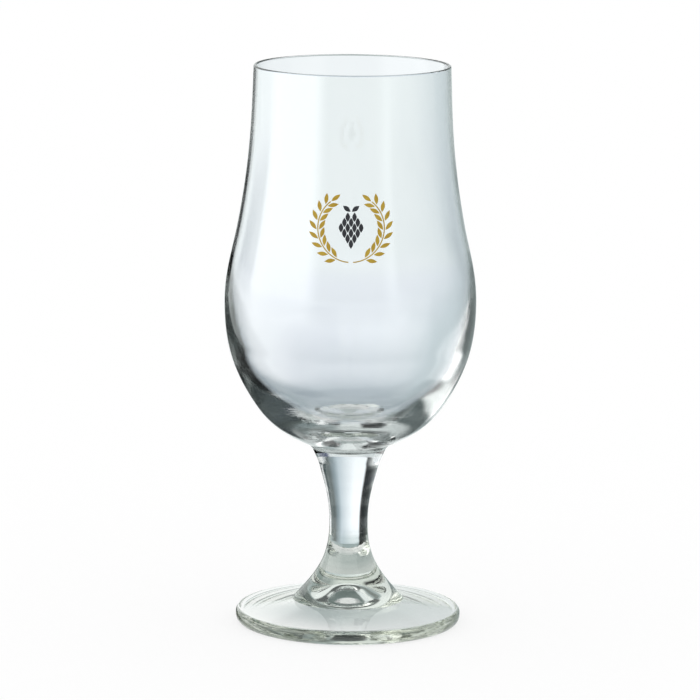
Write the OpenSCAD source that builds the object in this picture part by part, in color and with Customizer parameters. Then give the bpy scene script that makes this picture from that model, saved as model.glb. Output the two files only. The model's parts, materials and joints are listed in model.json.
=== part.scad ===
// Stemmed beer glass: a tulip bowl, a solid stem and a disc foot, welded hot,
// with a fired two-colour print on the front of the bowl.
// Millimetres. +Z is up, the print faces -Y, and the origin is at the middle of the standing ring.

/* [Bowl] */
// Height of the bowl from its weld to the rim
bowl_h = 123.3; // [112:0.1:135]
// Outer diameter at the rim
rim_d = 61.9; // [56:0.1:68]
// Slope of the wall at the rim, in degrees from upright
rim_lean = 1.7; // [0:0.1:4]
// Wall of the thin upper bowl, whose rim is polished round
rim_wall = 1.05; // [0.8:0.05:1.6]
// Outer diameter at the shoulder, where the upper wall begins to swell
shoulder_d = 71; // [66:0.1:76]
// Height of the shoulder above the weld
shoulder_z = 74.3; // [68:0.1:80]
// Slope of the wall at the shoulder, in degrees from upright
shoulder_lean = 10.6; // [5:0.1:16]
// Outer diameter at the belly, the widest place
belly_d = 79.4; // [74:0.1:86]
// Height of the belly above the weld
belly_z = 48.3; // [44:0.1:53]
// Outer diameter at the haunch, where the wall turns in below the belly
haunch_d = 59.6; // [55:0.1:64]
// Height of the haunch above the weld
haunch_z = 15.7; // [13:0.1:18]
// Slope of the wall at the haunch, in degrees from upright
haunch_lean = 34; // [28:0.5:40]
// Height above the weld at which the wall starts to thicken, going down
thicken_z = 64.5; // [58:0.1:70]
// Height over which the wall thickens
thicken_h = 45.4; // [38:0.1:52]
// Wall once it has thickened
base_wall = 4.2; // [3.2:0.1:4.8]
// Height above the weld at which the cavity starts to round into its floor
turn_z = 31.3; // [27:0.1:36]
// Glass between the haunch and the cavity
haunch_wall = 5.05; // [4.5:0.05:6]
// Slope of the cavity beside the haunch, in degrees from upright
floor_lean = 42.6; // [37:0.1:48]
// Solid glass between the weld and the floor of the cavity
base_h = 10.1; // [9:0.1:12]
// Outer diameter of the crease where the bowl ends and its stub begins
crease_d = 26; // [24:0.1:30]
// Height of the crease above the weld
crease_z = 2.9; // [2:0.1:4]
// Slope of the bowl's underside at the crease, in degrees from upright
crease_lean = 66; // [55:0.5:75]
// Slope of the stub at the crease, in degrees from upright
stub_lean = 42; // [35:0.5:50]

/* [Stem] */
// Length of the stem between its welds
stem_h = 26.9; // [20:0.1:40]
// Diameter at the weld to the bowl
stem_top_d = 21.9; // [19:0.1:23]
// Slope of the stem at the upper weld, in degrees from upright
stem_top_lean = 31; // [25:0.5:38]
// Diameter of the neck, part way down the flare
neck_d = 17.9; // [15:0.1:18.8]
// Depth of the neck below the upper weld
neck_drop = 5.6; // [4:0.1:8]
// Slope of the stem at the neck, in degrees from upright
neck_lean = 15; // [10:0.5:20]
// Diameter of the waist, the thinnest place
waist_d = 12.2; // [10:0.1:14]
// Height of the waist above the lower weld
waist_z = 4.8; // [3:0.1:8]
// Diameter at the weld to the foot
stem_end_d = 12.5; // [11:0.1:15]
// Slope of the stem at the lower weld, in degrees from upright
stem_end_lean = 5; // [0:0.5:10]

/* [Foot] */
// Height of the foot from the standing ring to the weld
foot_h = 27.8; // [24:0.1:32]
// Outer diameter of the foot
foot_d = 71.4; // [64:0.1:80]
// Slope of the foot's stub at the weld, in degrees from upright
foot_top_lean = 10; // [5:0.5:16]
// Diameter of the flare, half way down the boss
flare_d = 19.2; // [17:0.1:22]
// Height of the flare above the standing ring
flare_z = 17.5; // [15:0.1:19]
// Slope of the flare, in degrees from upright
flare_lean = 31; // [25:0.5:36]
// Diameter of the boss where it meets the foot's plate
boss_d = 35.3; // [32:0.1:40]
// Height of the boss's edge above the standing ring
boss_z = 7.5; // [6.5:0.1:9]
// Slope of the boss at its edge, in degrees from upright
boss_lean = 42; // [36:0.5:55]
// Thickness of the foot at its edge
edge_t = 4.8; // [4:0.1:5.6]
// Rounding at the top of the edge
edge_top_r = 1.6; // [1:0.1:2.2]
// Rounding at the bottom of the edge
edge_base_r = 2.2; // [1.4:0.1:2.8]
// Slope of the plate's top, in degrees from level
plate_slope = 9.3; // [6:0.1:13]
// Width of the flat standing ring
ring_w = 0.8; // [0.5:0.1:2]
// Slope of the hollow under the plate, in degrees from level
hollow_slope = 12.2; // [9:0.1:15]
// Diameter at which the hollow starts to steepen into the kick
hollow_d = 24; // [20:0.1:28]
// Diameter of the kick, the deep dome in the middle of the hollow
kick_d = 16; // [13:0.1:18]
// Slope of the kick at its edge, in degrees from level
kick_slope = 35; // [25:0.5:45]
// Height of the kick's top above the standing ring
kick_h = 10; // [8:0.1:13]

/* [Welds] */
// Rounding of the edges at each weld, which leaves a fine groove round the seam
weld_ease = 0.35; // [0.1:0.05:0.8]

/* [Print] */
// Height of the print's middle above the bowl's weld
print_z = 76.8; // [66:0.1:88]
// Thickness of the fired ink
ink_t = 0.06; // [0.04:0.01:0.2]
// Radius of the wreath, measured to its stalks
wreath_r = 10.2; // [9:0.1:12]
// Length of a barley grain
grain_l = 3.5; // [2.8:0.1:4]
// Width of a barley grain
grain_w = 1.25; // [0.9:0.05:1.4]
// Pairs of grains on each stalk
grain_pairs = 8; // [5:1:9]
// Angle of a grain to its stalk
grain_splay = 36; // [32:1:42]
// Width of a stalk
stalk_w = 0.35; // [0.25:0.05:0.5]
// Bare glass left between a stalk and its grains
ink_gap = 0.2; // [0.15:0.05:0.3]
// Length of one scale of the hop cone
scale_l = 2.9; // [2.4:0.1:3.1]
// Width of one scale of the hop cone
scale_w = 1.4; // [1:0.05:1.5]
// Distance between scales in a row
scale_pitch = 2.05; // [2:0.05:2.4]
// Distance between rows of scales
scale_drop = 1.62; // [1.6:0.01:1.9]

/* [Hidden] */
$fn = 180;

// Steps along one run of an outline, round a polished edge, and along one side of a leaf
run_steps = 10;
edge_steps = 6;
leaf_steps = 6;
// Reach of a curve's handles, as a share of the distance that it spans
handle_share = 0.38;
// Where a stalk starts and ends, in degrees round the wreath from its lowest point
stalk_from = 4;
stalk_to = 142;
// Where the first and the last pair of grains sit, as shares of the stalk's length
first_grain_share = 0.16;
last_grain_share = 0.93;
// Scales in each row of the hop cone, from the top down
cone_rows = [2, 3, 4, 3, 2, 1];
// Lean of the two leaves above the hop cone, in degrees from upright
top_leaf_lean = 52;

stem_z = foot_h;
bowl_z = foot_h + stem_h;
lip_r = rim_wall / 2;
ring_r = foot_d / 2 - edge_base_r - ring_w;

// An outline runs down through stations of [radius, height, lean], where a lean is the slope in
// degrees from straight down, positive outwards.
function place(s) = [s.x, s.y];
function heading(lean) = [sin(lean), -cos(lean)];
function curve(p, a, b, q, t) =
    pow(1 - t, 3) * p + 3 * pow(1 - t, 2) * t * a + 3 * (1 - t) * t * t * b + pow(t, 3) * q;
function run(s, e) =
    let (p = place(s), q = place(e), reach = handle_share * norm(q - p))
    [for (i = [0 : run_steps - 1])
        curve(p, p + reach * heading(s.z), q - reach * heading(e.z), q, i / run_steps)];
function flow(stations) =
    concat([for (k = [0 : len(stations) - 2]) each run(stations[k], stations[k + 1])],
           [place(stations[len(stations) - 1])]);
function arc(centre, r, from, to) =
    [for (i = [0 : edge_steps]) centre + r * [cos(from + (to - from) * i / edge_steps),
                                             sin(from + (to - from) * i / edge_steps)]];
function inset(s, wall) = [s.x - wall * cos(s.z), s.y - wall * sin(s.z), s.z];
function lean_at(points, i) =
    let (d = points[min(i + 1, len(points) - 1)] - points[max(i - 1, 0)]) atan2(d.x, -d.y);
function ease(t) = let (s = min(max(t, 0), 1)) s * s * (3 - 2 * s);
function hollow_z(r) = (ring_r - r) * tan(hollow_slope);
function flipped(points) = [for (i = [len(points) - 1 : -1 : 0]) points[i]];

// Bowl, measured from its weld. The cavity follows the outside at the wall's distance, down to
// turn_z, and then rounds into its floor.
haunch = [haunch_d / 2, haunch_z, -haunch_lean];
lip_z = bowl_h - lip_r;
outside = flow([[rim_d / 2, lip_z, rim_lean], [shoulder_d / 2, shoulder_z, shoulder_lean], [belly_d / 2, belly_z, 0],
                haunch, [crease_d / 2, crease_z, -crease_lean]]);
stub = run([crease_d / 2, crease_z, -stub_lean], [stem_top_d / 2, weld_ease, -stem_top_lean]);
function wall_at(z) = rim_wall + (base_wall - rim_wall) * ease((thicken_z - z) / thicken_h);
cavity_wall = [for (i = [0 : len(outside) - 1]) let (p = outside[i]) if (p.y > turn_z)
                  place(inset([p.x, p.y, lean_at(outside, i)], wall_at(p.y)))];
turn = len(cavity_wall) - 1;
cavity_floor = flow([concat(cavity_wall[turn], lean_at(cavity_wall, turn)),
                     concat(place(inset(haunch, haunch_wall)), -floor_lean), [0, base_h, -90]]);
cavity = concat([for (i = [1 : turn - 1]) cavity_wall[i]], cavity_floor);

module bowl() {
    color([0.86, 0.92, 0.92, 0.4])
        translate([0, 0, bowl_z])
            rotate_extrude()
                polygon(concat(arc([rim_d / 2 - lip_r, lip_z], lip_r, 180, 0), outside, stub,
                               arc([stem_top_d / 2 - weld_ease, weld_ease], weld_ease, 0, -90),
                               [[0, 0]], flipped(cavity)));
}

module stem() {
    shaft = flow([[stem_top_d / 2, stem_h - weld_ease, -stem_top_lean],
                  [neck_d / 2, stem_h - neck_drop, -neck_lean],
                  [waist_d / 2, waist_z, 0], [stem_end_d / 2, weld_ease, stem_end_lean]]);
    color([0.86, 0.92, 0.92, 0.4])
        translate([0, 0, stem_z])
            rotate_extrude()
                polygon(concat([[0, stem_h]],
                               arc([stem_top_d / 2 - weld_ease, stem_h - weld_ease], weld_ease, 90, 0), shaft,
                               arc([stem_end_d / 2 - weld_ease, weld_ease], weld_ease, 0, -90), [[0, 0]]));
}

module foot() {
    boss = flow([[stem_end_d / 2, foot_h - weld_ease, foot_top_lean], [flare_d / 2, flare_z, flare_lean],
                 [boss_d / 2, boss_z, boss_lean]]);
    hollow = flow([[hollow_d / 2, hollow_z(hollow_d / 2), -90 - hollow_slope],
                   [kick_d / 2, hollow_z(kick_d / 2), -90 - kick_slope], [0, kick_h, -90]]);
    color([0.82, 0.9, 0.87, 0.45])
        rotate_extrude()
            polygon(concat([[0, foot_h]],
                           arc([stem_end_d / 2 - weld_ease, foot_h - weld_ease], weld_ease, 90, 0), boss,
                           arc([foot_d / 2 - edge_top_r, edge_t - edge_top_r], edge_top_r, 90 - plate_slope, 0),
                           arc([foot_d / 2 - edge_base_r, edge_base_r], edge_base_r, 0, -90),
                           [[ring_r, 0]], hollow));
}

// Thin shell of ink on the outside of the bowl's upper wall, kept only where the flat design
// that is given as a child, drawn with X across and Y up from the print's middle, falls on it
module fired_ink() {
    upper_wall = [for (p = outside) if (p.y >= belly_z) p];
    translate([0, 0, bowl_z])
        intersection() {
            rotate_extrude()
                polygon(concat(upper_wall, flipped([for (p = upper_wall) p + [ink_t, 0]])));
            translate([0, 0, print_z])
                rotate([90, 0, 0])
                    linear_extrude(belly_d)
                        children();
        }
}

// A leaf that stands on the origin and tapers to both ends
module leaf(l, w) {
    side = [for (i = [0 : leaf_steps]) [w / 2 * sin(180 * i / leaf_steps), l * i / leaf_steps]];
    polygon(concat(side, [for (i = [leaf_steps - 1 : -1 : 1]) [-side[i].x, side[i].y]]));
}

// Angle round the wreath at a share of the stalk's length
function along(share) = stalk_from + (stalk_to - stalk_from) * share;

// One stalk of barley, which climbs the right side of the wreath with grains on both sides
module barley() {
    turns = [for (i = [0 : run_steps]) along(i / run_steps)];
    inner_r = wreath_r - stalk_w / 2;
    polygon(concat([for (a = turns) (inner_r + stalk_w) * [sin(a), -cos(a)]],
                   flipped([for (a = turns) inner_r * [sin(a), -cos(a)]])));
    for (i = [0 : grain_pairs - 1], side = [-1, 1])
        rotate(along(first_grain_share + (last_grain_share - first_grain_share) * i / (grain_pairs - 1)))
            translate([0, -wreath_r - side * (stalk_w / 2 + ink_gap)])
                rotate(-90 - side * grain_splay)
                    leaf(grain_l, grain_w);
    rotate(stalk_to)
        translate([ink_gap, -wreath_r])
            rotate(-90)
                leaf(grain_l, grain_w);
}

module gold_print() {
    color([0.66, 0.5, 0.06])
        fired_ink()
            for (side = [0, 1])
                mirror([side, 0])
                    barley();
}

module dark_print() {
    cone_top = len(cone_rows) * scale_drop / 2;
    color([0.13, 0.14, 0.16])
        fired_ink() {
            for (row = [0 : len(cone_rows) - 1], i = [0 : cone_rows[row] - 1])
                translate([(i - (cone_rows[row] - 1) / 2) * scale_pitch, cone_top - row * scale_drop])
                    rotate(180)
                        leaf(scale_l, scale_w);
            for (side = [-1, 1])
                translate([side * ink_gap, cone_top + ink_gap])
                    rotate(side * -top_leaf_lean)
                        leaf(scale_l, scale_w);
        }
}

bowl();
stem();
foot();
gold_print();
dark_print();
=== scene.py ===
# %% [markdown]
# A stemmed beer glass
#
# The glass is three pieces of clear glass, welded hot: a blown bowl, a solid stem and a pressed foot.
# Two films of enamel, one gold and one dark, are fired on the front of the bowl. The construction
# model is loaded first as a fixed frame. The glass is measured from it below, and the prints have its
# sizes, so that nothing has to be fitted by eye. The box of that model is kept, and printed at the end.

# %% Load the frame
import json
import math
from heapq import heappop, heappush

import bpy
import numpy as np
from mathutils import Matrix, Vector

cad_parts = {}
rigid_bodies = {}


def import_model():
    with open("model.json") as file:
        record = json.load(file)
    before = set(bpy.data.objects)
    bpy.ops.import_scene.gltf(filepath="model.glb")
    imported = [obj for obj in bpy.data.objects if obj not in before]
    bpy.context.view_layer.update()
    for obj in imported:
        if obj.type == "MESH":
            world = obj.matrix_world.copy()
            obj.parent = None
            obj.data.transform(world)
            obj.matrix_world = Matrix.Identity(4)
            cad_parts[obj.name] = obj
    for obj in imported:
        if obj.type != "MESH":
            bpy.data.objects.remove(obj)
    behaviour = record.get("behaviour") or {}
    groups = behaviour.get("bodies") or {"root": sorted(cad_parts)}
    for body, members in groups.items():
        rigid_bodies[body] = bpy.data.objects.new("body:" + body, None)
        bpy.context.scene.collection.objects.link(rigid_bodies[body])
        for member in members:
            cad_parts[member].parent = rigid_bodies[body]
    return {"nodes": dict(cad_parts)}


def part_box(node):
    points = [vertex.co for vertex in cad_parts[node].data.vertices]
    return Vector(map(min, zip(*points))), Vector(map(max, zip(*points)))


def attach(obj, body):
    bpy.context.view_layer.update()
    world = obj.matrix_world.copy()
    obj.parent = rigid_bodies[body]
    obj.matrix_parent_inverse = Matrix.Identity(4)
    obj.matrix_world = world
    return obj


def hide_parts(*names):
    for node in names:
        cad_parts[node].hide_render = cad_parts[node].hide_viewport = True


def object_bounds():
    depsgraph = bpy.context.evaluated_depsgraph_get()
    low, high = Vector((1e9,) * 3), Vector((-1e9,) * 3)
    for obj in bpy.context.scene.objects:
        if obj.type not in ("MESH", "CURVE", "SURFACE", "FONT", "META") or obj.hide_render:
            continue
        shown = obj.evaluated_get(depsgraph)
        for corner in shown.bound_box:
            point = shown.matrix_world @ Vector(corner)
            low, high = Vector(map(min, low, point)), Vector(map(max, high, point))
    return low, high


for leftover in list(bpy.data.objects):
    bpy.data.objects.remove(leftover)
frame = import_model()
cad_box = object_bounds()
scene = bpy.context.scene
MM = 0.001
print("nodes:", sorted(frame["nodes"]))

# %% [markdown]
# The camera
#
# The photograph was taken from well back with a long lens, from a little above the rim, which shows as a
# thin ellipse. A camera could be placed by trial and error. Here its distance, height and tilt are
# named, and the focal length is worked out from a view angle that is measured in pixels.

# %% Set up the camera
FRAME_PX = 700
FOCAL_PX = 4492
CAMERA_BACK = 1.397
CAMERA_UP = 0.3341
CAMERA_DOWN_DEG = 10.01
CAMERA_ROLL_DEG = 0.5

camera = bpy.data.objects.new("camera", bpy.data.cameras.new("camera"))
scene.collection.objects.link(camera)
scene.camera = camera
camera.data.lens = camera.data.sensor_width * FOCAL_PX / FRAME_PX
camera.location = (0, -CAMERA_BACK, CAMERA_UP)
camera.rotation_euler = (math.radians(90 - CAMERA_DOWN_DEG), 0, 0)
camera.rotation_euler.rotate_axis("Z", math.radians(CAMERA_ROLL_DEG))
scene.view_settings.view_transform = "Standard"
print(f"lens {camera.data.lens:.0f} mm, {CAMERA_BACK:.2f} m back")

# %% [markdown]
# Reading an outline
#
# Each piece of glass is a body of revolution, so one outline, radius against height, says all of its
# shape. The construction model is a mesh whose points lie on level rings. The helper below finds those
# rings, and walks along the mesh from one end of the outline to the other by the shortest way. Points
# that lie on a straight line between their neighbours say nothing, so they are dropped.

# %% Walk along the rings of a piece
SAME_RING = 2e-6
SHORTEST_STEP = 2e-5
STRAIGHT_DEG = 0.03


def rings_of(node):
    """The rings of a node's mesh as (radius, height), and the length of each step between two rings."""
    mesh = frame["nodes"][node].data
    places = [(math.hypot(v.co.x, v.co.y), v.co.z) for v in mesh.vertices]
    keys = [(round(r / SAME_RING), round(z / SAME_RING)) for r, z in places]
    steps = {}
    rings = dict(zip(keys, places))
    for edge in mesh.edges:
        a, b = (keys[i] for i in edge.vertices)
        if a != b:
            steps.setdefault(a, {})[b] = steps.setdefault(b, {})[a] = math.dist(rings[a], rings[b])
    return rings, steps


def turns_of(points):
    """How far an outline turns at each inner point, in degrees."""
    legs = np.diff(points, axis=0)
    angles = np.degrees(np.unwrap(np.arctan2(legs[:, 1], legs[:, 0])))
    return np.abs(np.diff(angles))


def outline_of(node, start, end):
    """The outline from the ring nearest to start to the one nearest to end, without idle points."""
    rings, steps = rings_of(node)
    first, last = (min(rings, key=lambda k: math.dist(rings[k], place)) for place in (start, end))
    queue, came_from = [(0.0, first, first)], {}
    while last not in came_from:
        length, ring, before = heappop(queue)
        if ring in came_from:
            continue
        came_from[ring] = before
        for other, step in steps[ring].items():
            heappush(queue, (length + step, other, ring))
    path = [last]
    while path[-1] != first:
        path.append(came_from[path[-1]])
    points = [rings[k] for k in reversed(path)]
    spaced = [points[0]] + [q for p, q in zip(points, points[1:]) if math.dist(p, q) > SHORTEST_STEP]
    points = np.array(spaced)
    return points[np.r_[True, turns_of(points) > STRAIGHT_DEG, True]]


for node in ("bowl", "stem", "foot"):
    print(node, len(rings_of(node)[0]), "rings")

# %% [markdown]
# Smoothing an outline
#
# The construction model has a flat band between two rings. Glass shows every such band, because it bends
# light, so a smooth curve is laid through the points. A real crease, such as the one where the bowl meets
# its stub, has to stay sharp. It is told from a rounded edge by its turn: at a crease the outline turns
# much more than at the points beside it. Where a long leg meets short ones, as a wall meets its polished
# lip, the direction of the curve is taken from the long leg's side.

# %% Lay a smooth curve through an outline
CREASE_DEG = 18
CREASE_TO_NEIGHBOURS = 1.8
LONGEST_STEP = 1.8 * MM
FLATNESS = 0.002 * MM
LONG_TIMES = 3


def creases_in(points):
    """Numbers of the points where the outline has a sharp crease."""
    turns = np.r_[0, turns_of(points), 0]
    beside = np.maximum(np.r_[0, turns[:-1]], np.r_[turns[1:], 0])
    return [int(i) for i in np.where((turns > CREASE_DEG) & (turns > CREASE_TO_NEIGHBOURS * beside))[0]]


def slopes_at(points, lengths):
    """Direction of the smooth curve at each point, from the legs on both sides or on the longer side."""
    legs = np.diff(points, axis=0) / lengths[:, None]
    if len(legs) == 1:
        return np.vstack([legs, legs])
    before, after = lengths[:-1, None], lengths[1:, None]
    inner = (legs[:-1] * after + legs[1:] * before) / (before + after)
    for i, (a, b) in enumerate(zip(lengths, lengths[1:])):
        if max(a, b) > LONG_TIMES * min(a, b):
            here, beyond = (i + 1, i + 2) if b > a else (i, i - 1)
            inner[i] = legs[here]
            if 0 <= beyond < len(legs) and lengths[here] < LONG_TIMES * lengths[beyond]:
                inner[i] += (legs[here] - legs[beyond]) * lengths[here] / (lengths[here] + lengths[beyond])
    slopes = np.vstack([2 * legs[0] - inner[0], inner, 2 * legs[-1] - inner[-1]])
    for end, leg in ((0, legs[0]), (-1, legs[-1])):
        if points[end][0] < SHORTEST_STEP:
            slopes[end] = [math.copysign(1, leg[0]), 0]
    return slopes


def smooth_run(points):
    """Points on a smooth curve through the given ones, closer together where the curve is tighter."""
    lengths = np.hypot(*np.diff(points, axis=0).T)
    slopes = slopes_at(points, lengths)
    turns = np.abs(np.diff(np.unwrap(np.arctan2(slopes[:, 1], slopes[:, 0]))))
    curve = [points[:1]]
    for i, length in enumerate(lengths):
        count = math.ceil(max(length / LONGEST_STEP, math.sqrt(length * turns[i] / (8 * FLATNESS))))
        t = (np.arange(count) + 1)[:, None] / count
        curve.append((2 * t**3 - 3 * t**2 + 1) * points[i] + (t**3 - 2 * t**2 + t) * length * slopes[i]
                     + (3 * t**2 - 2 * t**3) * points[i + 1] + (t**3 - t**2) * length * slopes[i + 1])
    return np.vstack(curve)


def smooth_outline(points):
    """The whole outline as close points, and the numbers of those that are creases."""
    ends = [0, *creases_in(points), len(points) - 1]
    curve, creases = [points[:1]], []
    for a, b in zip(ends, ends[1:]):
        curve.append(smooth_run(points[a:b + 1])[1:])
        creases.append(sum(len(c) for c in curve) - 1)
    return np.vstack(curve), creases[:-1]


# %% [markdown]
# The outlines of the three pieces
#
# The bowl's outline runs from the middle of its cavity, over the rim and down the outside to its weld. The
# stem's runs from weld to weld, and the foot's from its weld round the edge to the middle of the hollow
# beneath. The ends are given roughly, and the nearest ring is taken. The construction model has a fine groove
# round each weld, which keeps its pieces apart. A hot weld flows together, so the points beside it are
# dropped here, and the three outlines are smoothed as one.

# %% Read the outlines and join them
FUSED = 1.2 * MM
axis, table = 0.0, cad_box[0][2]
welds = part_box("bowl")[0].z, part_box("foot")[1].z
cavity_floor, kick_top = (axis, welds[0] + 10 * MM), (axis, table + 10 * MM)
upper_seam, lower_seam = (11 * MM, welds[0]), (6 * MM, welds[1])
read = [outline_of("bowl", cavity_floor, upper_seam), outline_of("stem", upper_seam, lower_seam),
        outline_of("foot", lower_seam, kick_top)]
clear = [points[np.abs(points[:, 1:] - welds).min(axis=1) > FUSED] for points in read]
seams = []
for weld, piece_above, piece_below in zip(welds, clear, clear[1:]):
    (r_above, z_above), (r_below, z_below) = piece_above[-1], piece_below[0]
    seams.append([r_below + (r_above - r_below) * (weld - z_below) / (z_above - z_below), weld])
whole, creases = smooth_outline(np.vstack([clear[0], seams[0], clear[1], seams[1], clear[2]]))
whole[:, 1] = np.maximum(whole[:, 1], table)
print(len(whole), "points, creases at", [tuple(round(float(x) / MM, 1) for x in whole[i]) for i in creases])

# %% [markdown]
# Cutting the outline at the welds
#
# The pieces stay separate, as they are before they are welded, so the whole outline is cut at the two seams
# and each cut end is closed by a flat disc. The two discs of a weld would lie in the same plane, and a
# renderer can't tell which comes first, so each stands back a hair into its piece.

# %% Cut the outline into three
WELD_GAP = 0.01 * MM


def cut_out(first, last):
    """A stretch of the whole outline closed at its cut ends, its sharp points and those of its weld discs."""
    points = whole[first:last + 1].copy()
    sharp = [i - first for i in creases if first < i < last]
    discs = []
    if last < len(whole) - 1:
        points[-1, 1] += WELD_GAP
        sharp.append(len(points) - 1)
        discs += [len(points) - 1, len(points)]
        points = np.vstack([points, [axis, points[-1, 1]]])
    if first > 0:
        points[0, 1] -= WELD_GAP
        points = np.vstack([[axis, points[0, 1]], points])
        sharp = [1, *(i + 1 for i in sharp)]
        discs = [0, 1, *(i + 1 for i in discs)]
    return points, sharp, discs


cuts = [int(np.hypot(*(whole - seam).T).argmin()) for seam in seams]
outlines = {"bowl": cut_out(0, cuts[0]), "stem": cut_out(*cuts), "foot": cut_out(cuts[1], len(whole) - 1)}
for piece, (points, sharp, discs) in outlines.items():
    print(piece, len(points), "outline points,", len(sharp), "of them sharp")

# %% [markdown]
# Wiring nodes
#
# The lathe, the prints and the finishes below are all node trees. A tree can be drawn by hand in the
# editor, but a script that builds it can be read and run again. This helper adds a node, fills its inputs
# and hands back its first output, so that a tree reads like a sum.

# %% A helper that wires nodes


class Wiring:
    """Adds nodes to a tree and joins them up. Inputs are given by name or number, as links or values."""

    def __init__(self, tree):
        self.tree = tree

    def node(self, kind, inputs=None, **settings):
        node = self.tree.nodes.new(kind)
        for name, value in settings.items():
            setattr(node, name, value)
        for name, value in (inputs or {}).items():
            if isinstance(value, bpy.types.NodeSocket):
                self.tree.links.new(value, node.inputs[name])
            else:
                node.inputs[name].default_value = value
        return node

    def add(self, kind, inputs=None, **settings):
        return next(o for o in self.node(kind, inputs, **settings).outputs if o.enabled)

    def sum(self, operation, *values):
        return self.add("ShaderNodeMath", dict(enumerate(values)), operation=operation)

    def split(self, vector):
        """A vector's X, Y and Z."""
        return self.node("ShaderNodeSeparateXYZ", {0: vector}).outputs

    def between(self, value, low, high, to_low=0.0, to_high=1.0, shape="SMOOTHSTEP"):
        """Fades from to_low to to_high as the value goes from low to high."""
        limits = {"From Min": low, "From Max": high, "To Min": to_low, "To Max": to_high}
        return self.add("ShaderNodeMapRange", {"Value": value, **limits}, interpolation_type=shape)

    def inside(self, value, low, high, edge):
        """1 between two limits, fading to 0 across a soft edge at each of them."""
        return self.sum("SUBTRACT", self.between(value, low - edge / 2, low + edge / 2),
                        self.between(value, high - edge / 2, high + edge / 2))

    def both(self, *shares):
        """Where all of several shares are."""
        whole = shares[0]
        for share in shares[1:]:
            whole = self.sum("MULTIPLY", whole, share)
        return whole

    def mix(self, share, first, second):
        """One colour blended into another."""
        return self.add("ShaderNodeMix", {0: share, 6: first, 7: second}, data_type="RGBA")


def geometry_tree(name, **inputs):
    """A Geometry Nodes tree with named inputs, its wiring, its input sockets and its output node."""
    tree = bpy.data.node_groups.new(name, "GeometryNodeTree")
    for label, kind in {"Geometry": "Geometry", **inputs}.items():
        tree.interface.new_socket(label.replace("_", " "), in_out="INPUT", socket_type="NodeSocket" + kind)
    tree.interface.new_socket("Geometry", in_out="OUTPUT", socket_type="NodeSocketGeometry")
    return Wiring(tree), tree.nodes.new("NodeGroupInput").outputs, tree.nodes.new("NodeGroupOutput").inputs


# %% [markdown]
# A lathe
#
# A glassmaker turns the hot glass against a tool, so that it comes out round. The tree below does the same
# with an outline. It takes a flat grid, whose columns are the segments of the turn and whose rows are the
# outline's points, and wraps it round the axis. The seam and the poles are closed by merging their points.
# Edges along a crease are marked sharp, and the faces of a weld are marked for the material.

# %% Set up the grid that is turned
TURN = 2 * math.pi
SAME_PLACE = 0.001 * MM


def unit_grid(w, across, along):
    """A flat grid of so many points each way, one unit wide and long."""
    return w.add("GeometryNodeMeshGrid",
                 {"Size X": 1.0, "Size Y": 1.0, "Vertices X": across, "Vertices Y": along})


w, given, result = geometry_tree("lathe", Segments="Int", Material="Material")
rows = w.node("GeometryNodeAttributeDomainSize", {"Geometry": given["Geometry"]}).outputs["Point Count"]
grid = unit_grid(w, w.sum("ADD", given["Segments"], 1), rows)
place = w.split(w.add("GeometryNodeInputPosition"))
angle = w.sum("MULTIPLY", w.sum("ADD", place["X"], 0.5), TURN)
row = w.sum("ROUND", w.sum("MULTIPLY", w.sum("ADD", place["Y"], 0.5), w.sum("SUBTRACT", rows, 1)))


def from_outline(data_type, value):
    """A value of the outline's point in the same row."""
    return w.add("GeometryNodeSampleIndex", {"Geometry": given["Geometry"], "Value": value, "Index": row},
                 data_type=data_type)


# %% Build the lathe
MARKS = ("crease", "weld point")

wall = grid
for mark in MARKS:
    named = w.add("GeometryNodeInputNamedAttribute", {"Name": mark}, data_type="BOOLEAN")
    marked = from_outline("BOOLEAN", named)
    wall = w.add("GeometryNodeStoreNamedAttribute", {"Geometry": wall, "Name": mark, "Value": marked},
                 data_type="BOOLEAN")
point = w.split(from_outline("FLOAT_VECTOR", w.add("GeometryNodeInputPosition")))
turned = w.add("ShaderNodeCombineXYZ", {"X": w.sum("MULTIPLY", point["X"], w.sum("COSINE", angle)),
                                        "Y": w.sum("MULTIPLY", point["X"], w.sum("SINE", angle)),
                                        "Z": point["Z"]})
wall = w.add("GeometryNodeSetPosition", {"Geometry": wall, "Position": turned})
wall = w.add("GeometryNodeMergeByDistance", {"Geometry": wall, "Distance": SAME_PLACE})
is_crease = w.add("GeometryNodeInputNamedAttribute", {"Name": "crease"}, data_type="BOOLEAN")
wall = w.add("GeometryNodeSetShadeSmooth", {0: wall, "Selection": is_crease, "Shade Smooth": False},
             domain="EDGE")
is_weld = w.add("GeometryNodeInputNamedAttribute", {"Name": "weld point"}, data_type="BOOLEAN")
wall = w.add("GeometryNodeStoreNamedAttribute", {"Geometry": wall, "Name": "weld", "Value": is_weld},
             data_type="FLOAT", domain="FACE")
for mark in MARKS:
    wall = w.add("GeometryNodeRemoveAttribute", {"Geometry": wall, "Name": mark})
wall = w.add("GeometryNodeRealizeInstances", {0: wall})
wall = w.add("GeometryNodeSetMaterial", {"Geometry": wall, "Material": given["Material"]})
w.tree.links.new(wall, result["Geometry"])
lathe = w.tree
print("lathe:", len(lathe.nodes), "nodes")

# %% Keep what a tree makes


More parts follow.
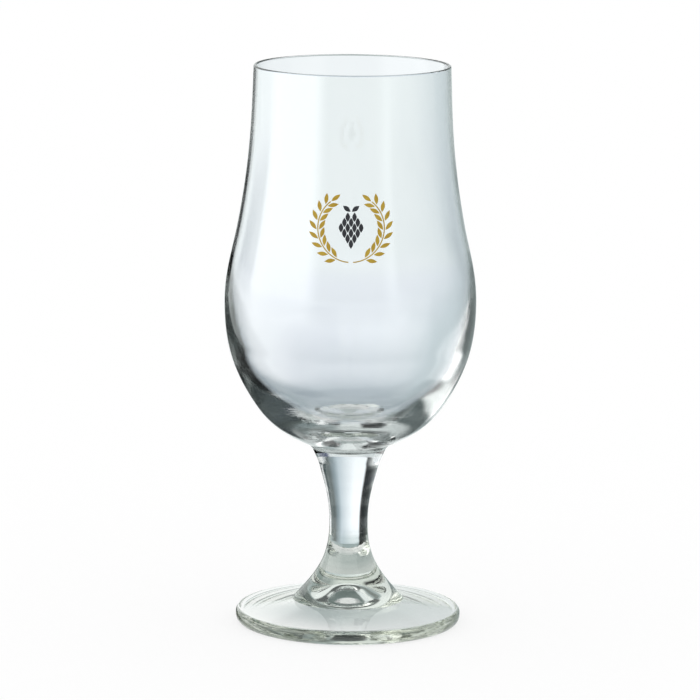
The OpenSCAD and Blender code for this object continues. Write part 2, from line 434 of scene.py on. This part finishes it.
def made_by(name, base, tree, **inputs):
    """Runs a tree on a base mesh and keeps what it makes as a plain mesh."""
    piece = bpy.data.objects.new(name, base)
    scene.collection.objects.link(piece)
    modifier = piece.modifiers.new(tree.name, "NODES")
    modifier.node_group = tree
    sockets = {s.name: s.identifier for s in tree.interface.items_tree if s.in_out == "INPUT"}
    for label, value in inputs.items():
        modifier[sockets[label.replace("_", " ")]] = value
    depsgraph = bpy.context.evaluated_depsgraph_get()
    mesh = bpy.data.meshes.new_from_object(piece.evaluated_get(depsgraph), depsgraph=depsgraph,
                                           preserve_all_data_layers=True)
    piece.modifiers.remove(modifier)
    piece.data = mesh
    mesh.name = name
    return piece


# %% [markdown]
# Clear glass
#
# Drinking glasses are made of soda-lime glass. Its index of refraction is 1.52, and it is faintly green. That
# hardly shows through a thin wall, but light that is caught in a thick base goes a long way before it gets
# out, and comes out darker and greener, which is the absorption in the volume. Blown glass also has faint
# streaks, called striae, where the melt was not quite even. Both glasses share one group of nodes for them.
# The blown bowl is perfectly smooth. The stem and the foot have touched tools, and are a trace less so below
# the crease under the bowl. Across a weld the glass goes on, so the weld's faces are made clear.

# %% Draw the striae
STREAK_UPRIGHT = (1.0, 1.0, 0.18)
WAVE_STRENGTH, WAVE_DEPTH = 0.05, 0.2 * MM

striae = bpy.data.node_groups.new("striae", "ShaderNodeTree")
striae.interface.new_socket("Width", in_out="INPUT", socket_type="NodeSocketFloat")
striae.interface.new_socket("Streak", in_out="OUTPUT", socket_type="NodeSocketFloat")
striae.interface.new_socket("Wave", in_out="OUTPUT", socket_type="NodeSocketVector")
w = Wiring(striae)
width = striae.nodes.new("NodeGroupInput").outputs["Width"]
seen_at = w.node("ShaderNodeTexCoord").outputs["Object"]
upright = w.add("ShaderNodeVectorMath", {0: seen_at, 1: STREAK_UPRIGHT}, operation="MULTIPLY")
streak = w.add("ShaderNodeTexNoise", {"Vector": upright, "Scale": w.sum("DIVIDE", 1.0, width), "Detail": 2.0})
wave = w.add("ShaderNodeBump", {"Strength": WAVE_STRENGTH, "Distance": WAVE_DEPTH, "Height": streak})
end = striae.nodes.new("NodeGroupOutput").inputs
striae.links.new(streak, end["Streak"])
striae.links.new(wave, end["Wave"])
print("striae:", len(striae.nodes), "nodes")

# %% Make the two glasses
REFRACTION = 1.52
WORKED_ROUGHNESS, ROUGHNESS_FADE = 0.01, 0.1 * MM
STREAK_TINT, PLAIN = (0.985, 0.992, 0.99, 1), (1, 1, 1, 1)
blown_from = float(whole[creases[0], 1])


def node_material(name):
    """An empty node material, its wiring and its output node."""
    material = bpy.data.materials.new(name)
    material.use_nodes = True
    material.node_tree.nodes.clear()
    end = material.node_tree.nodes.new("ShaderNodeOutputMaterial").inputs
    return material, Wiring(material.node_tree), end


def clear_glass(name, absorbs, density, streak_width):
    """Polished glass that takes up light along its way through, and lets it pass straight across a weld."""
    material, w, end = node_material(name)
    melt = w.node("ShaderNodeGroup", node_tree=striae)
    melt.inputs["Width"].default_value = streak_width
    tint = w.mix(melt.outputs["Streak"], STREAK_TINT, PLAIN)
    weld = w.node("ShaderNodeAttribute", attribute_name="weld").outputs["Fac"]
    up = w.split(w.node("ShaderNodeTexCoord").outputs["Object"])["Z"]
    roughness = w.between(up, blown_from - ROUGHNESS_FADE, blown_from, WORKED_ROUGHNESS, 0.0)
    glass = w.add("ShaderNodeBsdfPrincipled", {
        "Base Color": tint, "Roughness": roughness, "IOR": REFRACTION, "Transmission Weight": 1.0,
        "Normal": melt.outputs["Wave"], "Alpha": w.sum("SUBTRACT", 1.0, weld)})
    w.tree.links.new(glass, end["Surface"])
    depth = w.add("ShaderNodeVolumeAbsorption", {"Color": absorbs, "Density": density})
    w.tree.links.new(depth, end["Volume"])
    return material


bowl_glass = clear_glass("bowl_glass", (0.16, 0.22, 0.21, 1), 10.0, 5 * MM)
foot_glass = clear_glass("foot_glass", (0.14, 0.22, 0.04, 1), 10.0, 8 * MM)
print(f"{bowl_glass.name} and {foot_glass.name}, perfectly smooth from {blown_from / MM:.1f} mm up")

# %% [markdown]
# The bowl, the stem and the foot
#
# The bowl is blown into a mould, the stem and the foot are pressed, and the three are welded while they are
# hot. Each could be modelled by hand from a ring of points. Here each is one turn of the lathe, which keeps
# it round. The wide pieces get more segments than the slim stem, so that their edges look as smooth.

# %% Turn the three pieces of glass
SEGMENTS = {"bowl": 312, "stem": 224, "foot": 352}


def turn(node, material):
    """Turns one outline on the lathe."""
    points, sharp, discs = outlines[node]
    base = bpy.data.meshes.new("outline")
    base.from_pydata([(float(r), 0, float(z)) for r, z in points], [], [])
    for mark, marked in (("crease", sharp), ("weld point", discs)):
        flags = base.attributes.new(mark, "BOOLEAN", "POINT")
        for i in marked:
            flags.data[i].value = True
    piece = made_by("glass_" + node, base, lathe, Segments=SEGMENTS[node], Material=material)
    volume = sum(f.center.dot(f.normal) * f.area for f in piece.data.polygons) / 3
    if volume < 0:
        piece.data.flip_normals()
    triangles = sum(len(f.vertices) - 2 for f in piece.data.polygons)
    print(f"{node}: {triangles} triangles, {abs(volume) / MM**3 / 1000:.1f} cubic centimetres")
    return piece


bowl = turn("bowl", bowl_glass)
stem = turn("stem", bowl_glass)
foot = turn("foot", foot_glass)

# %% [markdown]
# Fired inks
#
# The two colours are enamel inks, printed through a screen and fired at red heat. A fired ink is an opaque
# satin film. It isn't quite even: the mesh of the screen leaves a fine grain, and the ink is a little
# thicker in some places than in others. One group of nodes gives both inks their grain.

# %% Draw the grain of a screened film
PATCH, MESH_MARK = 2.5 * MM, 0.15 * MM
GRAIN_STRENGTH, GRAIN_DEPTH = 0.25, 0.02 * MM

screened = bpy.data.node_groups.new("screened film", "ShaderNodeTree")
for label, kind in (("Thick", "Float"), ("Grain", "Vector")):
    screened.interface.new_socket(label, in_out="OUTPUT", socket_type="NodeSocket" + kind)
w = Wiring(screened)
seen_at = w.node("ShaderNodeTexCoord").outputs["Object"]
thick = w.add("ShaderNodeTexNoise", {"Vector": seen_at, "Scale": 1 / PATCH, "Detail": 3.0})
mesh_marks = w.add("ShaderNodeTexNoise", {"Vector": seen_at, "Scale": 1 / MESH_MARK, "Detail": 1.0})
grain = w.add("ShaderNodeBump", {"Strength": GRAIN_STRENGTH, "Distance": GRAIN_DEPTH, "Height": mesh_marks})
end = screened.nodes.new("NodeGroupOutput").inputs
screened.links.new(thick, end["Thick"])
screened.links.new(grain, end["Grain"])
print("screened film:", len(screened.nodes), "nodes")

# %% Make the two inks
THIN, THICK = 0.3, 0.7
DULLER_WHERE_THIN, GLOSSIER_WHERE_THICK = 0.08, 0.06


def fired_ink(name, thin_colour, thick_colour, roughness):
    """Opaque satin enamel whose colour and gloss follow the thickness of its film."""
    material, w, end = node_material(name)
    film = w.node("ShaderNodeGroup", node_tree=screened).outputs
    colour = w.mix(w.between(film["Thick"], THIN, THICK), thin_colour, thick_colour)
    satin = w.between(film["Thick"], THIN, THICK,
                      roughness + DULLER_WHERE_THIN, roughness - GLOSSIER_WHERE_THICK)
    ink = w.add("ShaderNodeBsdfPrincipled",
                {"Base Color": colour, "Roughness": satin, "Normal": film["Grain"]})
    w.tree.links.new(ink, end["Surface"])
    return material


gold_ink = fired_ink("gold_ink", (0.46, 0.31, 0.022, 1), (0.40, 0.25, 0.011, 1), 0.42)
dark_ink = fired_ink("dark_ink", (0.026, 0.028, 0.035, 1), (0.018, 0.020, 0.026, 1), 0.40)
print("inks:", gold_ink.name, dark_ink.name)

# %% [markdown]
# Leaves, and how a print lies on the bowl
#
# Both prints are made of one shape, a slim leaf that tapers to both ends: it is a grain in the barley and
# a scale in the hop. The design is flat, like the screen it is printed through. To lay it on the bowl, a
# ray is sent from each point of the flat design straight back, and the point moves to where the ray meets
# the glass. Before that the design is raised to a thin closed film, so that it stands on the glass.

# %% Build the leaf
LEAF_ACROSS, LEAF_ALONG = 5, 15

w, given, result = geometry_tree("leaf", Length="Float", Width="Float")
grid = unit_grid(w, LEAF_ACROSS, LEAF_ALONG)
place = w.split(w.add("GeometryNodeInputPosition"))
up = w.sum("ADD", place["Y"], 0.5)
swell = w.sum("SINE", w.sum("MULTIPLY", up, math.pi))
across = w.sum("MULTIPLY", w.sum("MULTIPLY", place["X"], given["Width"]), swell)
shaped = w.add("ShaderNodeCombineXYZ", {"X": across, "Y": w.sum("MULTIPLY", up, given["Length"])})
blade = w.add("GeometryNodeSetPosition", {"Geometry": grid, "Position": shaped})
blade = w.add("GeometryNodeMergeByDistance", {"Geometry": blade, "Distance": SAME_PLACE})
w.tree.links.new(blade, result["Geometry"])
leaf = w.tree


def leaves_on(w, length, width, points, turns, chosen=True):
    """A leaf on each of the chosen points, turned in the plane of the design."""
    blade = w.add("GeometryNodeGroup", {"Length": length, "Width": width}, node_tree=leaf)
    turned = w.add("ShaderNodeCombineXYZ", {"Z": turns})
    return w.add("GeometryNodeInstanceOnPoints", {"Points": points, "Instance": blade, "Rotation": turned,
                                                  "Selection": chosen})


print("leaf:", len(leaf.nodes), "nodes")

# %% Build the laying-on
FROM_FRONT = 0.1
laid_sockets = {"Height": "Float", "Film": "Float", "Lift": "Float", "Bowl": "Object", "Material": "Material"}


def joined(w, *parts):
    """Several geometries as one."""
    join = w.node("GeometryNodeJoinGeometry")
    for part in parts:
        w.tree.links.new(part, join.inputs[0])
    return join.outputs[0]


w, given, result = geometry_tree("lay on bowl", **laid_sockets)
flat = w.add("GeometryNodeRealizeInstances", {0: given["Geometry"]})
raised = w.add("GeometryNodeExtrudeMesh", {"Mesh": flat, "Offset": (0, 0, 1), "Offset Scale": given["Film"],
                                           "Individual": False}, mode="FACES")
film = joined(w, raised, w.add("GeometryNodeFlipFaces", {"Mesh": flat}))
film = w.add("GeometryNodeMergeByDistance", {"Geometry": film, "Distance": SAME_PLACE})
place = w.split(w.add("GeometryNodeInputPosition"))
start = w.add("ShaderNodeCombineXYZ", {"X": place["X"], "Y": -FROM_FRONT,
                                       "Z": w.sum("ADD", place["Y"], given["Height"])})
target = w.node("GeometryNodeObjectInfo", {"Object": given["Bowl"]}).outputs["Geometry"]
ray = w.node("GeometryNodeRaycast", {"Target Geometry": target, "Source Position": start,
                                     "Ray Direction": (0, 1, 0), "Ray Length": 2 * FROM_FRONT}).outputs
off = w.add("ShaderNodeVectorMath", {0: ray["Hit Normal"], "Scale": w.sum("ADD", place["Z"], given["Lift"])},
            operation="SCALE")
on_glass = w.add("ShaderNodeVectorMath", {0: ray["Hit Position"], 1: off}, operation="ADD")
film = w.add("GeometryNodeSetPosition", {"Geometry": film, "Position": on_glass})
film = w.add("GeometryNodeSetMaterial", {"Geometry": film, "Material": given["Material"]})
w.tree.links.new(film, result["Geometry"])
lay_on_bowl = w.tree


def laid(w, given, design):
    """A flat design laid on the bowl."""
    sockets = {label: given[label] for label in laid_sockets}
    return w.add("GeometryNodeGroup", {"Geometry": design, **sockets}, node_tree=lay_on_bowl)


print("laying-on:", len(lay_on_bowl.nodes), "nodes")

# %% [markdown]
# The gold print: a wreath of barley
#
# Two stalks of barley rise from the bottom, one on each side, with pairs of grains and one grain at the
# tip. Each grain could be placed by hand. Here its place and lean follow from its number, so the whole wreath
# comes out of a few sizes, which are those of the construction model. One side is made, and the other is its
# mirror image.

# %% Set the sizes of the wreath
FILM, FILM_LIFT = 0.045 * MM, 0.012 * MM
PRINT_MIDDLE = 131.5 * MM
WREATH_RADIUS = 10.2 * MM
GRAIN = {"Grain_length": 3.5 * MM, "Grain_width": 1.25 * MM, "Pairs": 8, "Splay": math.radians(36)}
STALK = {"Stalk_width": 0.35 * MM, "Stalk_from": math.radians(4), "Stalk_to": math.radians(142)}
FIRST_GRAIN, LAST_GRAIN = 0.16, 0.93
STALK_POINTS = 61
BARE_GLASS = 0.2 * MM
LAID = {"Height": PRINT_MIDDLE, "Film": FILM, "Lift": FILM_LIFT, "Bowl": bowl}
print(f"wreath: {2 * WREATH_RADIUS / MM:.1f} mm across, {4 * GRAIN['Pairs'] + 2} grains")

# %% Grow the grains
w, given, result = geometry_tree(
    "wreath", Radius="Float", Grain_length="Float", Grain_width="Float", Pairs="Int", Splay="Float",
    Stalk_width="Float", Stalk_from="Float", Stalk_to="Float", Bare_glass="Float", **laid_sockets)
number = w.add("GeometryNodeInputIndex")
pair = w.sum("FLOOR", w.sum("DIVIDE", number, 2))
side = w.sum("SUBTRACT", w.sum("MULTIPLY", w.sum("MODULO", number, 2), 2), 1)
share = w.sum("MULTIPLY_ADD", w.sum("DIVIDE", pair, w.sum("SUBTRACT", given["Pairs"], 1)),
              LAST_GRAIN - FIRST_GRAIN, FIRST_GRAIN)
sweep = w.sum("SUBTRACT", given["Stalk to"], given["Stalk from"])


def on_circle(angle, radius):
    """A point on a circle round the print's middle, at an angle from its lowest point."""
    down = w.sum("MULTIPLY", w.sum("COSINE", angle), -1)
    return w.add("ShaderNodeCombineXYZ", {"X": w.sum("MULTIPLY", radius, w.sum("SINE", angle)),
                                          "Y": w.sum("MULTIPLY", radius, down)})


at = w.sum("MULTIPLY_ADD", sweep, share, given["Stalk from"])
aside = w.sum("ADD", w.sum("MULTIPLY", given["Stalk width"], 0.5), given["Bare glass"])
beside_stalk = on_circle(at, w.sum("MULTIPLY_ADD", side, aside, given["Radius"]))
grains = w.add("GeometryNodePoints",
               {"Count": w.sum("MULTIPLY", given["Pairs"], 2), "Position": beside_stalk})
lean = w.sum("SUBTRACT", w.sum("SUBTRACT", at, math.pi / 2), w.sum("MULTIPLY", side, given["Splay"]))
grains = leaves_on(w, given["Grain length"], given["Grain width"], grains, lean)
past_end = w.sum("ADD", given["Stalk to"], w.sum("DIVIDE", given["Bare glass"], given["Radius"]))
tip = w.add("GeometryNodePoints", {"Count": 1, "Position": on_circle(past_end, given["Radius"])})
tip = leaves_on(w, given["Grain length"], given["Grain width"], tip, w.sum("SUBTRACT", past_end, math.pi / 2))

# %% Draw the stalks and print the wreath
stalk = unit_grid(w, STALK_POINTS, 2)
place = w.split(w.add("GeometryNodeInputPosition"))
along = w.sum("MULTIPLY_ADD", w.sum("ADD", place["X"], 0.5), sweep, given["Stalk from"])
bent_round = on_circle(along, w.sum("MULTIPLY_ADD", place["Y"], given["Stalk width"], given["Radius"]))
stalk = w.add("GeometryNodeSetPosition", {"Geometry": stalk, "Position": bent_round})
right = w.add("GeometryNodeRealizeInstances", {0: joined(w, grains, tip)})
right = joined(w, right, w.add("GeometryNodeFlipFaces", {"Mesh": stalk}))
mirror_image = w.add("GeometryNodeTransform", {"Geometry": right, "Scale": (-1, 1, 1)})
left = w.add("GeometryNodeFlipFaces", {"Mesh": mirror_image})
w.tree.links.new(laid(w, given, joined(w, right, left)), result["Geometry"])


gold_wreath = made_by("gold_wreath", bpy.data.meshes.new("none"), w.tree, Radius=WREATH_RADIUS, **GRAIN,
                      **STALK, Bare_glass=BARE_GLASS, **LAID, Material=gold_ink)

# %% [markdown]
# The dark print: a hop cone
#
# The hop stands in the middle of the wreath. Its scales hang in rows that grow from two to four and shrink
# to one, and two leaves spread from its top. Each scale could be placed by hand, but the rows follow from a
# rule: a scale's number gives its row and its column, and a column that the row is too short for is left out.

# %% Hang the hop's scales
ROWS, WIDEST_ROW, TOP_ROW = 6, 4, 2
SCALE = {"Scale_length": 2.9 * MM, "Scale_width": 1.4 * MM, "Pitch": 2.05 * MM, "Drop": 1.62 * MM}
TOP_LEAF_LEAN = math.radians(52)

w, given, result = geometry_tree("hop cone", Scale_length="Float", Scale_width="Float", Pitch="Float",
                                 Drop="Float", Bare_glass="Float", Lean="Float", **laid_sockets)
number = w.add("GeometryNodeInputIndex")
row = w.sum("FLOOR", w.sum("DIVIDE", number, WIDEST_ROW))
column = w.sum("MODULO", number, WIDEST_ROW)
in_row = w.sum("MINIMUM", w.sum("ADD", row, TOP_ROW), w.sum("SUBTRACT", ROWS, row))
top = w.sum("MULTIPLY", given["Drop"], ROWS / 2)
across = w.sum("SUBTRACT", column, w.sum("MULTIPLY", w.sum("SUBTRACT", in_row, 1), 0.5))
hung = w.add("ShaderNodeCombineXYZ", {"X": w.sum("MULTIPLY", across, given["Pitch"]),
                                      "Y": w.sum("SUBTRACT", top, w.sum("MULTIPLY", row, given["Drop"]))})
scales = w.add("GeometryNodePoints", {"Count": ROWS * WIDEST_ROW, "Position": hung})
scales = leaves_on(w, given["Scale length"], given["Scale width"], scales, math.pi,
                   w.sum("LESS_THAN", column, in_row))

# %% Spread its top leaves and print the hop
side = w.sum("SUBTRACT", w.sum("MULTIPLY", number, 2), 1)
spread = w.add("ShaderNodeCombineXYZ", {"X": w.sum("MULTIPLY", side, given["Bare glass"]),
                                        "Y": w.sum("ADD", top, given["Bare glass"])})
tops = w.add("GeometryNodePoints", {"Count": 2, "Position": spread})
tops = leaves_on(w, given["Scale length"], given["Scale width"], tops,
                 w.sum("MULTIPLY", side, w.sum("MULTIPLY", given["Lean"], -1)))
w.tree.links.new(laid(w, given, joined(w, scales, tops)), result["Geometry"])

dark_hop = made_by("dark_hop", bpy.data.meshes.new("none"), w.tree, **SCALE, Bare_glass=BARE_GLASS,
                   Lean=TOP_LEAF_LEAN, **LAID, Material=dark_ink)

# %% [markdown]
# Fixing the pieces to the frame
#
# The glass has no moving parts, so every piece rides the one body. Each takes the place of one node of
# the frame, which is hidden, and the material it shows is printed.

# %% Give each piece its body and hide its node
for piece, node, slot in ((bowl, "bowl", "bowl_glass"), (stem, "stem", "bowl_glass"),
                          (foot, "foot", "foot_glass"), (gold_wreath, "gold_print", "gold_ink"),
                          (dark_hop, "dark_print", "dark_ink")):
    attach(piece, "root")
    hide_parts(node)
    print(piece.name, "stands for", node, "in", slot)

# %% [markdown]
# The table
#
# The glass stands on a sheet of white paper, which shows its soft shadow. Product pictures are exposed until
# the paper is nearly white, so three quarters of what the camera sees of it is plain white and the rest is
# paper that takes the shadow.

# %% Lay the white sheet
WHITE_SHARE = 0.75
SHEET_WIDTH = 6.0

bpy.ops.mesh.primitive_plane_add(size=SHEET_WIDTH, location=(0, 0, table))
sheet = bpy.context.object
sheet.name = "sheet"
white_sheet, w, sheet_end = node_material("white_sheet")
paper = w.add("ShaderNodeBsdfPrincipled",
              {"Base Color": (1, 1, 1, 1), "Roughness": 1.0, "Specular IOR Level": 0.0})
plain = w.add("ShaderNodeEmission", {"Color": (1, 1, 1, 1), "Strength": 1.0})
rays = w.node("ShaderNodeLightPath").outputs
from_camera = w.sum("MULTIPLY", rays["Is Camera Ray"], WHITE_SHARE)
shaded = w.add("ShaderNodeMixShader", {0: from_camera, 1: paper, 2: plain})
print(f"sheet: {SHEET_WIDTH:.0f} m wide at a height of {table / MM:.1f} mm")

# %% [markdown]
# The table as the glass shows it
#
# A ray that has been bent or mirrored by the glass meets the table from odd directions, and what it meets
# decides how the foot looks. Under the foot the paper is in its shade: dark in the middle, where the boss
# gathers the light and throws it aside, and lighter towards the edge, more so on the left, where the light
# comes from. Everywhere else the sheet gives way to the studio that is described below, which goes all the
# way round.

# %% Paint the shade under the foot
SHADE_FROM, SHADE_TO, SHADE_EDGE = 8 * MM, 37 * MM, 3 * MM
SHADE_LEFT, SHADE_RIGHT, SHADE_TURNS = (0.45, 0.51, 0.51, 1), (0.56, 0.62, 0.61, 1), (-10 * MM, 10 * MM)
EDGE_LEFT, EDGE_RIGHT, EDGE_TURNS = (1.0, 1.0, 1.0, 1), (0.74, 0.77, 0.78, 1), (-15 * MM, 25 * MM)

seen_at = w.node("ShaderNodeTexCoord").outputs["Object"]
from_axis = w.node("ShaderNodeVectorMath", {0: seen_at}, operation="LENGTH").outputs["Value"]
place = w.split(seen_at)
middle = w.mix(w.between(place["X"], *SHADE_TURNS), SHADE_LEFT, SHADE_RIGHT)
edge = w.mix(w.between(place["X"], *EDGE_TURNS), EDGE_LEFT, EDGE_RIGHT)
under_foot = w.mix(w.between(from_axis, SHADE_FROM, SHADE_TO), middle, edge)
on_table = w.add("ShaderNodeEmission", {"Color": under_foot, "Strength": 1.0})
gone = w.between(from_axis, SHADE_TO, SHADE_TO + SHADE_EDGE)
gives_way = w.add("ShaderNodeMixShader", {0: gone, 1: on_table, 2: w.add("ShaderNodeBsdfTransparent")})
by_glass = w.sum("MAXIMUM", rays["Is Glossy Ray"], rays["Is Transmission Ray"])
w.tree.links.new(w.add("ShaderNodeMixShader", {0: by_glass, 1: shaded, 2: gives_way}), sheet_end["Surface"])
sheet.data.materials.append(white_sheet)
print(f"shade: {2 * SHADE_TO / MM:.0f} mm across")

# %% [markdown]
# The studio
#
# A photographer lights glass with white boxes and dark cards round it. The boxes make it clear, and the
# cards draw its edges. Cards could be objects, but then each would need its own lamp, so they are painted
# on the world here. A card lies between two bearings and two heights, in degrees: a bearing of 0 is
# straight behind the glass and 90 is to its right, and a height of 0 is level. The helpers give a card's
# share of each direction, from 0 to 1, and put one card in front of another.

# %% Shape cards on the world
STRIP_EDGE, STRIP_END = 4, 5

studio = bpy.data.worlds.new("studio")
scene.world = studio
studio.use_nodes = True
studio.node_tree.nodes.clear()
w = Wiring(studio.node_tree)
way = w.split(w.node("ShaderNodeTexCoord").outputs["Generated"])
bearing = w.sum("DEGREES", w.sum("ARCTAN2", way["X"], way["Y"]))
height = w.sum("DEGREES", w.sum("ARCSINE", way["Z"]))
aside = w.sum("ABSOLUTE", bearing)


def card(low_bearing, high_bearing, low_height, high_height, edge):
    """An upright card."""
    return w.both(w.inside(bearing, low_bearing, high_bearing, edge),
                  w.inside(height, low_height, high_height, edge))


def strip(slope, low, high, low_bearing, high_bearing):
    """A card that falls to the right by a slope. Its heights are those straight behind the glass."""
    return w.both(w.inside(w.sum("MULTIPLY_ADD", bearing, slope, height), low, high, STRIP_EDGE),
                  w.inside(bearing, low_bearing, high_bearing, STRIP_END))


def past(slope, start, end, level=height):
    """Fades in from one bearing to another, along a line that moves to the right by a slope as it rises."""
    return w.between(w.sum("MULTIPLY_ADD", level, -slope, bearing), start, end)


def painted(ground, **cards):
    """A ground colour with named cards in front of it, the nearest last."""
    colour = (*ground, 1)
    for share, paint in cards.values():
        colour = w.mix(share, colour, (*paint, 1))
    print("painted", ", ".join(cards))
    return colour


# %% [markdown]
# What the glass mirrors
#
# A surface that is seen at a slant mirrors what stands beside it, and light that is caught in the thick base
# leaves it towards the same sides. To the left stands a black flag, which draws the dark arc along the left
# of the base, with a bright window beyond it. To the right are grey screens, one in front of the other, and
# a strip light above a strip of black. The places were found by following rays back from the arcs that show
# in the glass. The flag has slanted sides, so it is cut out by one line after another.

# %% Paint what is mirrored
FLAG_WIDENS_BELOW = -8
depth_below = w.sum("MINIMUM", w.sum("SUBTRACT", height, FLAG_WIDENS_BELOW), 0)
flag = w.both(past(0.91, -42, -35), past(2.4, -32, -28, depth_below), w.between(bearing, -8, -12),
              past(1.62, 47, 39), w.inside(height, -76, -1, 5))
window = w.both(w.inside(bearing, -146, -75, 22), w.inside(height, -13, 46, 12))
near_table = w.both(w.between(aside, 90, 110), w.between(height, -7, -17))
behind_camera = w.both(w.between(aside, 134, 156), w.inside(height, -10, 17, 6))
mirrored = painted(
    (0.98, 1.03, 1.02),
    floor=(w.between(height, -44, -52), (0.45, 0.51, 0.50)),
    window=(window, (1.9, 1.9, 1.88)),
    right_screen=(card(9, 125, -51, 40, 10), (0.41, 0.48, 0.48)),
    screen_foot=(card(12, 48, -11, 0, 4), (0.33, 0.39, 0.39)),
    dark_screen=(card(44, 136, -3, 42, 10), (0.11, 0.13, 0.13)),
    # a darker patch painted on the right-hand screen, which the glass shows as a darker reflection
    worn_patch=(card(56, 92, -3, 30, 10), (0.17, 0.20, 0.20)),
    dim_corner=(card(18, 50, 10, 31, 8), (0.19, 0.22, 0.21)),
    near_table=(near_table, (0.98, 1.03, 1.07)),
    reflector=(card(100, 150, -52, -10, 10), (1.3, 1.32, 1.3)),
    left_screen=(card(-74, -46, -2, 42, 6), (0.20, 0.24, 0.24)),
    ceiling=(card(-44, 29, 33, 64, 8), (0.08, 0.09, 0.09)),
    behind_camera=(behind_camera, (0.07, 0.08, 0.08)),
    strip_light=(strip(0.33, -21.7, -11.1, 20, 68), (1.7, 1.7, 1.7)),
    strip_black=(strip(0.30, -43.4, -24.6, 9, 69), (0.01, 0.01, 0.01)),
    left_flag=(flag, (0.01, 0.01, 0.01)))

# %% [markdown]
# What the glass bends
#
# The stem and the foot are solid, so they work as lenses and turn what is behind them round: a black flag on
# the left shows as the dark band on the right of the stem. The wall fades from white behind the glass to
# dark grey on the right, which gives the stem its slow change from right to left. Two more flags, nearer to
# the camera, draw the stem's edges when it is looked at from behind.

# %% Paint what is bent
bent = painted(
    (1.14, 1.20, 1.23),
    low_wall=(w.between(height, -10, -32), (0.66, 0.77, 0.80)),
    fading_wall=(w.between(bearing, -7.8, 22, shape="LINEAR"), (0.43, 0.54, 0.60)),
    dark_wall=(w.between(bearing, 15, 33, shape="LINEAR"), (0.09, 0.12, 0.12)),
    right_light=(w.between(bearing, 53, 61), (1.15, 1.18, 1.19)),
    table_edge=(w.inside(height, -34, -26.5, 3), (0.36, 0.44, 0.45)),
    near_table=(w.between(height, -34.5, -39), (1.25, 1.26, 1.22)),
    side_flags=(w.inside(aside, 112, 140, 10), (0.05, 0.06, 0.06)),
    left_flag=(w.both(w.between(bearing, -23, -28), w.between(bearing, -92, -76)), (0.005, 0.005, 0.006)),
    lit_corner=(w.both(w.between(bearing, -25, -42), w.between(height, 8, 24)), (0.55, 0.57, 0.56)))

# %% [markdown]
# What one wall of the bowl shows
#
# Over the near rim the eye meets only the far wall. It is thin and hardly bends light, so it shows a plain
# pale wall, and a grey card draws the line of its rim.

# %% Paint what the far wall shows
far_wall = painted(
    (0.90, 0.94, 0.96),
    rim_card=(card(-5, 5, -60, -14, 6), (0.38, 0.44, 0.43)))

# %% [markdown]
# What is seen through the bowl
#
# Light that has gone through both walls of the bowl shows the backdrop: nearly white, a little bluer low
# down, with a few grey cards that shade the base and a dark ceiling that draws the rim.

# %% Paint the backdrop
backdrop = painted(
    (0.92, 0.98, 0.985),
    table=(w.between(height, -9, -14), (0.89, 0.94, 1.0)),
    window=(card(-159, -90, -25, 62, 14), (1.02, 1.06, 1.07)),
    ceiling=(card(-53, 26, 25, 72, 6), (0.01, 0.01, 0.01)),
    dark_card=(card(-34, 16, -3, 23, 6), (0.06, 0.10, 0.09)),
    right_screen=(card(47, 165, 17, 53, 12), (0.08, 0.10, 0.20)),
    shaded_table=(card(-63, 56, -71, -20, 14), (0.42, 0.49, 0.54)),
    pale_card=(card(-19, -3, -24, -7, 6), (0.93, 0.97, 1.02)),
    grey_card=(card(4, 32, -34, -2, 8), (0.59, 0.68, 0.725)),
    lit_paper=(card(-48, -14, -60, -43, 8), (1.05, 1.10, 1.06)),
    floor=(w.between(height, -62, -72), (0.58, 0.67, 0.64)))

# %% [markdown]
# Putting the studio together
#
# A ray tells how it has come. One that was bent four times or more has gone through both walls of the bowl.
# One that was bent less often and never mirrored has come through the stem or the foot, or if it left the
# perfectly smooth glass of the bowl, through one wall. All others have been mirrored, outside the glass or
# within it. What the glass doesn't touch is plain white.

# %% Choose what each ray shows
BOTH_WALLS = 4

rays = w.node("ShaderNodeLightPath").outputs
went_in = w.sum("GREATER_THAN", rays["Transmission Depth"], 0.5)
is_bent = w.both(went_in, w.sum("LESS_THAN", rays["Glossy Depth"], 0.5))
is_through = w.sum("GREATER_THAN", rays["Transmission Depth"], BOTH_WALLS - 0.5)
by_glass = w.sum("MAXIMUM", rays["Is Glossy Ray"], rays["Is Transmission Ray"])
single = w.mix(rays["Is Singular Ray"], bent, far_wall)
seen = w.mix(is_through, w.mix(is_bent, mirrored, single), backdrop)
seen = w.mix(by_glass, (1, 1, 1, 1), seen)
shining = w.add("ShaderNodeBackground", {"Color": seen, "Strength": 1.0})
w.tree.links.new(shining, studio.node_tree.nodes.new("ShaderNodeOutputWorld").inputs["Surface"])
print("studio:", len(studio.node_tree.nodes), "nodes")

# %% [markdown]
# How far light is followed
#
# Light that is caught in the thick base is mirrored many times before it gets out. If it is given up too
# early the base turns black, so the renderer is told to follow it further than usual.

# %% Follow light far enough
BOUNCES = 32
for kind in ("max_bounces", "transmission_bounces", "glossy_bounces", "transparent_max_bounces"):
    setattr(scene.cycles, kind, BOUNCES)
print("light is followed for", BOUNCES, "bounces")

# %% [markdown]
# The box of the construction model
#
# The pieces should fill the box that the construction model filled. That box is printed here.

# %% Print the frame's box and finish
print("frame ", [[round(x / MM, 2) for x in c] for c in cad_box])
